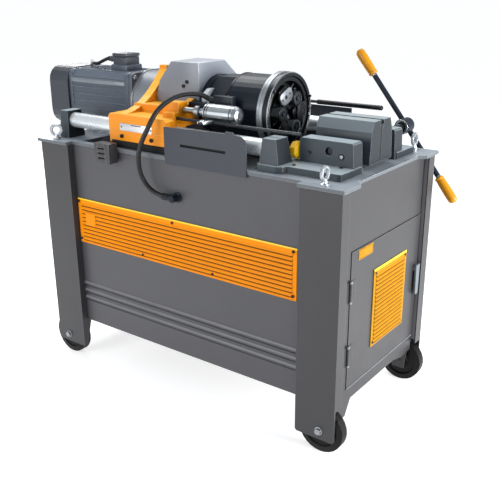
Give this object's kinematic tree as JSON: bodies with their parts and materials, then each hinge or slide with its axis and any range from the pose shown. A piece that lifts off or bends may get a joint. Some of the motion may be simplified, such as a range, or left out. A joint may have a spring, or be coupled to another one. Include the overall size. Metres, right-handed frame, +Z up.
{
  "type": "bar threading machine",
  "caption": "Wheeled bar and pipe threading machine: motor, gearbox and turning head on a sliding carriage, a screw vise with a two-armed lever and a louvred cabinet.",
  "frame": {"origin": "middle of the outer box at floor level", "axes": "+X from the motor to the vise, +Y towards the operator's side, +Z up"},
  "size_m": [1.4292, 0.6664, 1.1008],
  "materials": {
    "cabinet_grey": "semi-gloss dark grey enamel",
    "table_grey": "satin light grey enamel",
    "dark_grey": "semi-gloss charcoal enamel",
    "casing_grey": "satin blue-grey enamel",
    "orange_paint": "gloss orange-yellow enamel",
    "black_enamel": "gloss black enamel",
    "cast_grey": "painted grey casting with machined faces",
    "ground_steel": "ground and hard chromed",
    "machined_steel": "turned steel, lightly oiled",
    "zinc_plate": "bright zinc plate",
    "wheel_rubber": "hard black rubber tyre on a nylon hub",
    "hose_black": "smooth black rubber",
    "grip_orange": "moulded orange grip",
    "button_green": "gloss",
    "button_red": "gloss"
  },
  "bodies": {
    "root": {"post_front_left": "cabinet_grey", "post_front_right": "cabinet_grey", "post_rear_left": "cabinet_grey", "post_rear_right": "cabinet_grey", "front_panel": "cabinet_grey", "rear_panel": "cabinet_grey", "left_panel": "cabinet_grey", "right_panel": "cabinet_grey", "floor_pan": "cabinet_grey", "table_top": "table_grey", "front_louvre": "orange_paint", "coolant_tank": "dark_grey", "coolant_pump": "black_enamel", "hinge_upper": "zinc_plate", "hinge_lower": "zinc_plate", "lifting_eye_front_left": "zinc_plate", "lifting_eye_front_right": "zinc_plate", "lifting_eye_rear_left": "zinc_plate", "lifting_eye_rear_right": "zinc_plate", "guide_bar_front": "ground_steel", "guide_bar_rear": "ground_steel", "bar_block_front": "dark_grey", "bar_block_rear": "dark_grey", "feed_rack": "machined_steel", "vise_base": "cast_grey", "front_guard": "dark_grey", "rear_guard": "dark_grey", "switch_box": "dark_grey", "hose_elbow": "zinc_plate", "control_box": "dark_grey"},
    "carriage": {"saddle": "orange_paint", "bearing_cap_front": "orange_paint", "bearing_cap_rear": "orange_paint", "gearbox": "casing_grey", "motor": "cabinet_grey", "fan_cover": "cabinet_grey", "front_stop_rod": "machined_steel", "rear_stop_rod": "black_enamel", "reset_barrel": "machined_steel", "coolant_hose": "hose_black", "motor_cable": "hose_black"},
    "head": {"head_drum": "black_enamel", "head_ring": "machined_steel", "roller_cage": "machined_steel"},
    "feed_capstan": {"feed_wheel": "black_enamel"},
    "vise_spindle": {"vise_screw": "machined_steel", "vise_lever": "black_enamel", "grip_upper": "grip_orange", "grip_lower": "grip_orange"},
    "front_jaw": {"jaw_front": "cast_grey"},
    "rear_jaw": {"jaw_rear": "cast_grey"},
    "cabinet_door": {"door": "cabinet_grey", "door_louvre": "orange_paint"},
    "latch": {"door_latch": "zinc_plate"},
    "start_push": {"start_button": "button_green"},
    "stop_push": {"stop_button": "button_red"},
    "castor_front_left": {"wheel_front_left": "wheel_rubber"},
    "castor_front_right": {"wheel_front_right": "wheel_rubber"},
    "castor_rear_left": {"wheel_rear_left": "wheel_rubber"},
    "castor_rear_right": {"wheel_rear_right": "wheel_rubber"}
  },
  "joints": [
    {"name": "carriage_slide", "type": "slide", "parent": "root", "child": "carriage", "axis": [1, 0, 0], "range_m": [-0.15, 0.085], "deforming": ["coolant_hose", "motor_cable"]},
    {"name": "head_spin", "type": "hinge", "parent": "carriage", "child": "head", "pos_m": [0.15343, -0.0235, 0.927], "axis": [1, 0, 0], "continuous": true},
    {"name": "feed_wheel_turn", "type": "hinge", "parent": "carriage", "child": "feed_capstan", "pos_m": [-0.11657, 0.2945, 0.862], "axis": [0, 1, 0], "range_deg": [-360, 204]},
    {"name": "vise_screw_turn", "type": "hinge", "parent": "root", "child": "vise_spindle", "pos_m": [0.51843, 0.1765, 0.863], "axis": [0, 1, 0], "range_deg": [0, 1800]},
    {"name": "jaw_front_slide", "type": "slide", "parent": "root", "child": "front_jaw", "axis": [0, -1, 0], "range_m": [0, 0.0301]},
    {"name": "jaw_rear_slide", "type": "slide", "parent": "root", "child": "rear_jaw", "axis": [0, 1, 0], "range_m": [0, 0.0301]},
    {"name": "door_swing", "type": "hinge", "parent": "root", "child": "cabinet_door", "pos_m": [0.63393, -0.228, 0.39], "axis": [0, 0, -1], "range_deg": [0, 110]},
    {"name": "latch_turn", "type": "hinge", "parent": "cabinet_door", "child": "latch", "pos_m": [0.63043, 0.2045, 0.43], "axis": [-1, 0, 0], "range_deg": [0, 90]},
    {"name": "start_button_press", "type": "slide", "parent": "root", "child": "start_push", "axis": [0, -1, 0], "range_m": [0, 0.003], "stiffness_N_per_m": 400, "springref_m": -0.002},
    {"name": "stop_button_press", "type": "slide", "parent": "root", "child": "stop_push", "axis": [0, -1, 0], "range_m": [0, 0.003], "stiffness_N_per_m": 400, "springref_m": -0.002},
    {"name": "wheel_spin_front_left", "type": "hinge", "parent": "root", "child": "castor_front_left", "pos_m": [-0.48757, -0.288, 0.0735], "axis": [0, 1, 0], "continuous": true},
    {"name": "wheel_spin_front_right", "type": "hinge", "parent": "root", "child": "castor_front_right", "pos_m": [0.59443, -0.288, 0.0735], "axis": [0, 1, 0], "continuous": true},
    {"name": "wheel_spin_rear_left", "type": "hinge", "parent": "root", "child": "castor_rear_left", "pos_m": [-0.48757, 0.241, 0.0735], "axis": [0, 1, 0], "continuous": true},
    {"name": "wheel_spin_rear_right", "type": "hinge", "parent": "root", "child": "castor_rear_right", "pos_m": [0.59443, 0.241, 0.0735], "axis": [0, 1, 0], "continuous": true}
  ],
  "couplings": [
    {"joint": "feed_wheel_turn", "follows": "carriage_slide", "rad_per_m": 41.667},
    {"joint": "jaw_front_slide", "follows": "vise_screw_turn", "m_per_rad": 0.000955},
    {"joint": "jaw_rear_slide", "follows": "vise_screw_turn", "m_per_rad": 0.000955}
  ]
}
